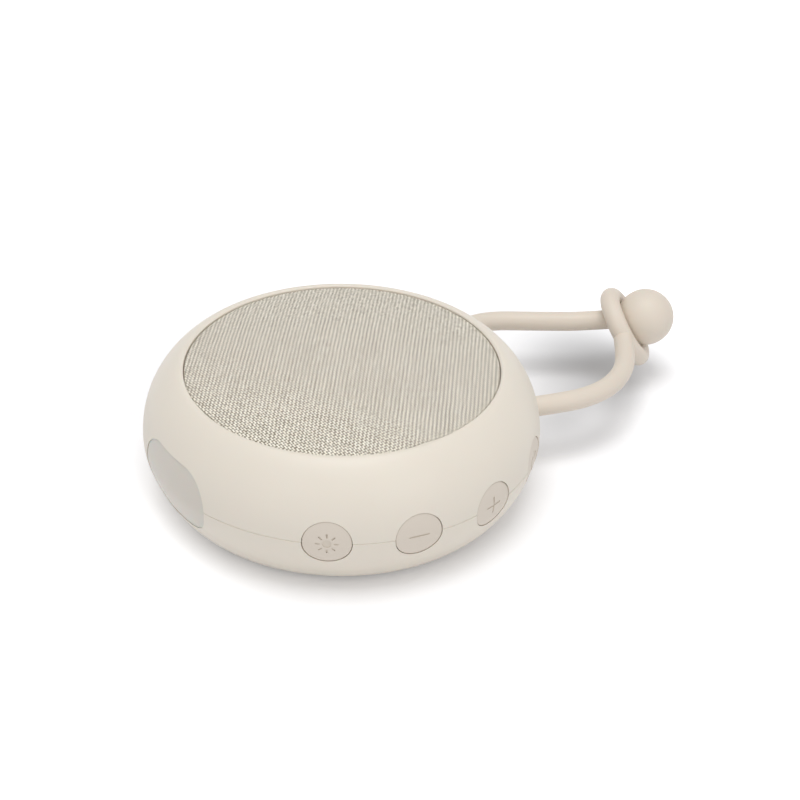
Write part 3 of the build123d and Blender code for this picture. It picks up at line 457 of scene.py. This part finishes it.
def arc_band(radius, width, start, end):
    """A band of constant width along an arc."""
    return arc(radius + width / 2, start, end) + arc(radius - width / 2, start, end)[::-1]


SUN_RAYS = [bar(length=1.15, width=0.4, offset=2.2, angle=45 * ray) for ray in range(8)]
ICONS = {
    "light": [disc(radius=1.05), *SUN_RAYS],
    "minus": [bar(length=5.2, width=0.42)],
    "plus": [cross(length=4.8, width=0.42)],
    "power": [
        arc_band(radius=2.3, width=0.5, start=125, end=415),
        bar(length=2.4, width=0.5, offset=1.7, angle=90),
    ],
}


def icon_cutter(outline, azimuth):
    """An icon's outline as a prism, from a constant depth under the face to clear of it."""
    azimuth = math.radians(azimuth)
    out = Vector((math.sin(azimuth), -math.cos(azimuth), 0))
    side = Vector((-out.y, out.x, 0))
    up = Vector((0, 0, 1))
    centre = Vector((0, 0, SEAM_HEIGHT * MM))
    form = bmesh.new()
    back, front = [], []
    for across, above in outline:
        bottom = math.sqrt(FACE_RADIUS**2 - across**2) - FACE_FALL * above**2 - ICON_DEPTH
        place = centre + side * across * MM + up * above * MM
        back.append(form.verts.new(place + out * bottom * MM))
        front.append(form.verts.new(place + out * CUTTER_RADIUS * MM))
    form.faces.new(list(reversed(back)))
    form.faces.new(front)
    for i in range(len(outline)):
        j = (i + 1) % len(outline)
        form.faces.new((back[i], back[j], front[j], front[i]))
    bmesh.ops.recalc_face_normals(form, faces=form.faces)
    mesh = finished_mesh("icon_cutter", form)
    # the same slots as on the button, so that the cut faces take the icon's darker colour, which is painted
    # shade
    mesh.materials.append(FINISH["button_plastic"])
    mesh.materials.append(icon_painted_shade)
    for polygon in mesh.polygons:
        polygon.material_index = 1
    return add_object("icon_cutter", mesh)


def pressed_button(name, azimuth):
    """The button's own shape with its icon sunk into the face."""
    node = f"{name}_button"
    piece = new_piece(f"{name}_button_face", nodes[node].data.copy(), "button_plastic")
    piece.data.materials.append(icon_painted_shade)
    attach(piece, node)
    for outline in ICONS[name]:
        cutter = icon_cutter(outline, azimuth)
        cut = piece.modifiers.new("cut", "BOOLEAN")
        cut.operation = "DIFFERENCE"
        cut.solver = "EXACT"
        cut.object = cutter
        depsgraph = bpy.context.evaluated_depsgraph_get()
        result = bpy.data.meshes.new_from_object(piece.evaluated_get(depsgraph))
        piece.modifiers.clear()
        piece.data = result
        bpy.data.objects.remove(cutter)
    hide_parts(node)


for number, name in enumerate(ICONS):
    pressed_button(name, FIRST_BUTTON_AZIMUTH + BUTTON_PITCH * number)


# ---------------------------------------------------------------- speaker suspension
def flexing_ring(node, slot, inner_land, outer_land):
    """A round suspension part: its inner land follows the cone and its outer land the housing."""
    piece = new_piece(f"{node}_flexing", nodes[node].data.copy(), slot)
    mesh = piece.data
    radii = [Vector(vertex.co.xy).length for vertex in mesh.vertices]
    held = max(radii) - outer_land * MM
    carried = min(radii) + inner_land * MM
    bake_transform(piece, "housing", "speaker_cone", start=(held, 0, 0), end=(carried, 0, 0))
    # the bend runs inwards all round, not along one line
    for radius, weight in zip(radii, mesh.attributes["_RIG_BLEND"].data):
        share = min(max((held - radius) / (held - carried), 0), 1)
        weight.value = share * share * (3 - 2 * share)
    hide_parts(node)


flexing_ring("speaker_surround", "soft_rubber", inner_land=1.4, outer_land=0.7)
flexing_ring("speaker_spider", "spider_cloth", inner_land=0.0, outer_land=1.0)

# ---------------------------------------------------------------- strap
# in mm, the routes as part.py has them
STRAP_RADIUS = 2.65
RING_CORD = [
    (20.0, 47.6, 16.6),
    (21.95, 53.6, 16.6),
    (23.15, 59.8, 16.5),
    (22.95, 66.1, 16.4),
    (21.2, 72.1, 16.3),
    (18.0, 77.5, 16.3),
    (13.9, 81.8, 16.5),
    (9.9, 84.7, 16.9),
]
BALL_CORD = [
    (-20.0, 47.6, 16.6),
    (-21.8195, 53.2, 16.6),
    (-22.7, 58.6, 16.4),
    (-21.4, 64.2, 16.1),
    (-17.9, 69.9, 16.0),
    (-13.4, 77.0, 15.9),
    (-8.4, 84.2, 16.1),
]
RING_CENTRE = Vector((-0.4, 93.7, 15.5))
RING_TILT = math.radians(31.9)  # of the ring's axis, up from the floor
RING_HEADING = math.radians(36.2)  # of the ring's axis, from +Y towards +X
BALL_STAND = 6.3  # of the ball's centre from the ring's, along that axis
BALL_RADIUS = 7.75
BALL_NECK = 0.5


def cord_curve(name, points, node):
    """A smooth round cord along the route's own points."""
    curve = bpy.data.curves.new(name, "CURVE")
    curve.dimensions = "3D"
    spline = curve.splines.new("NURBS")
    spline.points.add(len(points) - 1)
    for point, place in zip(spline.points, points):
        point.co = (*[value * MM for value in place], 1.0)
    spline.order_u = 3
    spline.use_endpoint_u = True
    spline.resolution_u = 24
    curve.bevel_depth = STRAP_RADIUS * MM
    curve.bevel_resolution = 12
    curve.use_fill_caps = True
    piece = new_piece(name, curve, "strap_rubber")
    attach(piece, "housing")
    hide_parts(node)
    return piece


# the ball's cord ends at the ball's neck, pointing at its centre
ring_axis = Vector((
    math.cos(RING_TILT) * math.sin(RING_HEADING),
    math.cos(RING_TILT) * math.cos(RING_HEADING),
    math.sin(RING_TILT),
))
ball_centre = RING_CENTRE + ring_axis * BALL_STAND
ball_way = (ball_centre - Vector(BALL_CORD[-1])).normalized()
BALL_CORD.append(tuple(ball_centre - ball_way * (BALL_RADIUS + BALL_NECK)))

ring_cord = cord_curve("ring_cord", RING_CORD, "strap_ring_cord")
ball_cord = cord_curve("ball_cord", BALL_CORD, "strap_ball_cord")

# ---------------------------------------------------------------- floor
FLOOR_REACH = 4  # m each way
FLOOR_DROP = 0.00005  # m, so that the foot's underside doesn't flicker against the floor
FLOOR_TONES = (linear(247, 247, 249), linear(245, 245, 247))
# painted shadow under the strap's loop, in the floor's colour and glow: spots with their place and reach in
# mm, and depth
LOOP_PAINTED_SHADOW = (
    ((-10, 90), 30, 0.5),
    ((9, 66), 22, 0.34),
    ((7, 83), 16, 0.2),
    ((14, 53), 14, 0.12),
)
# the floor's own glow, where 1 is white: under the object, and what two rises add beyond it,
# each from one distance in metres to another, because the lamps fall off there
GLOW_LEVEL = 0.14
GLOW_RISES = ((0.06, 0.16, 0.3), (0.3, 1.0, 0.25))
# painted light in the floor's glow, which thins the contact shadow on the body's -Y side, from under its
# edge outwards
PAINTED_LIGHT_PLACE = (-5, -58)
PAINTED_LIGHT_REACH = 55
PAINTED_LIGHT_EDGE = (38, 50)
PAINTED_LIGHT_GLOW = 0.22


def floor_finish():
    """A pale floor that shows white round the object and keeps its shadow, with a painted shadow under the
    strap's loop and painted light that thins the contact shadow on the body's -Y side.
    """
    surface = Surface("floor_finish")
    painted_shadow = 1.0
    for (x, y), spot_reach, depth in LOOP_PAINTED_SHADOW:
        rise = surface.ramp(surface.distance(x * MM, y * MM), 0.0, spot_reach * MM)
        left = surface.math("MULTIPLY_ADD", rise, depth, 1 - depth)
        painted_shadow = surface.math("MULTIPLY", left, painted_shadow)
    tone = surface.mix(surface.noise(scale=8.0, detail=3.0), *FLOOR_TONES)
    # the floor's colour darkened by the painted shadow under the loop
    surface.colour(surface.mix(painted_shadow, BLACK, tone))
    surface.set(Roughness=0.8, Specular_IOR_Level=0.1)

    reach = surface.distance(0, 0)
    level = GLOW_LEVEL
    for start, end, gain in GLOW_RISES:
        level = surface.math("MULTIPLY_ADD", surface.ramp(reach, start, end), gain, level)
    x, y = PAINTED_LIGHT_PLACE
    # painted light that lifts the contact shadow on the body's -Y side
    painted_light = surface.math(
        "MULTIPLY",
        surface.ramp(surface.distance(x * MM, y * MM), PAINTED_LIGHT_REACH * MM, 0.0),
        surface.ramp(reach, PAINTED_LIGHT_EDGE[0] * MM, PAINTED_LIGHT_EDGE[1] * MM),
    )
    level = surface.math("MULTIPLY_ADD", painted_light, PAINTED_LIGHT_GLOW, level)
    # the glow, darkened by the painted shadow and raised by the painted light
    shown = surface.math("MULTIPLY", surface.background_rays(), surface.math("MULTIPLY", level, painted_shadow))
    glow = surface.add("ShaderNodeEmission")
    glow.inputs["Color"].default_value = WHITE
    surface.link(shown, glow.inputs["Strength"])
    joined = surface.add("ShaderNodeAddShader")
    surface.link(surface.shader.outputs[0], joined.inputs[0])
    surface.link(glow.outputs[0], joined.inputs[1])
    surface.link(joined.outputs[0], surface.tree.nodes["Material Output"].inputs["Surface"])
    return surface.material


floor_mesh = bpy.data.meshes.new("floor")
floor_mesh.from_pydata(
    [(FLOOR_REACH * x, FLOOR_REACH * y, 0) for x, y in ((-1, -1), (1, -1), (1, 1), (-1, 1))],
    [],
    [(0, 1, 2, 3)],
)
floor_mesh.materials.append(floor_finish())
floor = add_object("floor", floor_mesh)
floor.location.z = -FLOOR_DROP

# ---------------------------------------------------------------- world and lamps
WORLD_LIGHT = 0.49  # of the world on the object, where the background itself shows 1
LAMP_AIM = Vector((0, 0.02, 0.02))

world = bpy.data.worlds.new("world")
scene.world = world
sky = Graph(world)
background = sky.tree.nodes["Background"]
background.inputs["Color"].default_value = WHITE
sky.link(
    sky.math("MULTIPLY_ADD", sky.background_rays(), 1 - WORLD_LIGHT, WORLD_LIGHT),
    background.inputs["Strength"],
)


def lamp(name, place, size, power):
    """A soft square lamp that faces the object."""
    data = bpy.data.lights.new(name, "AREA")
    data.shape = "SQUARE"
    data.size = size
    data.energy = power
    light = add_object(name, data)
    light.location = place
    light.rotation_mode = "QUATERNION"
    light.rotation_quaternion = (LAMP_AIM - light.location).to_track_quat("-Z", "Y")


lamp("key", place=(0.1, -0.06, 1.05), size=0.6, power=5.2)
lamp("left_fill", place=(0.45, -0.82, 0.45), size=0.45, power=0.6)
lamp("right_fill", place=(0.92, 0.05, 0.45), size=0.45, power=1.0)

scene.view_settings.view_transform = "Standard"
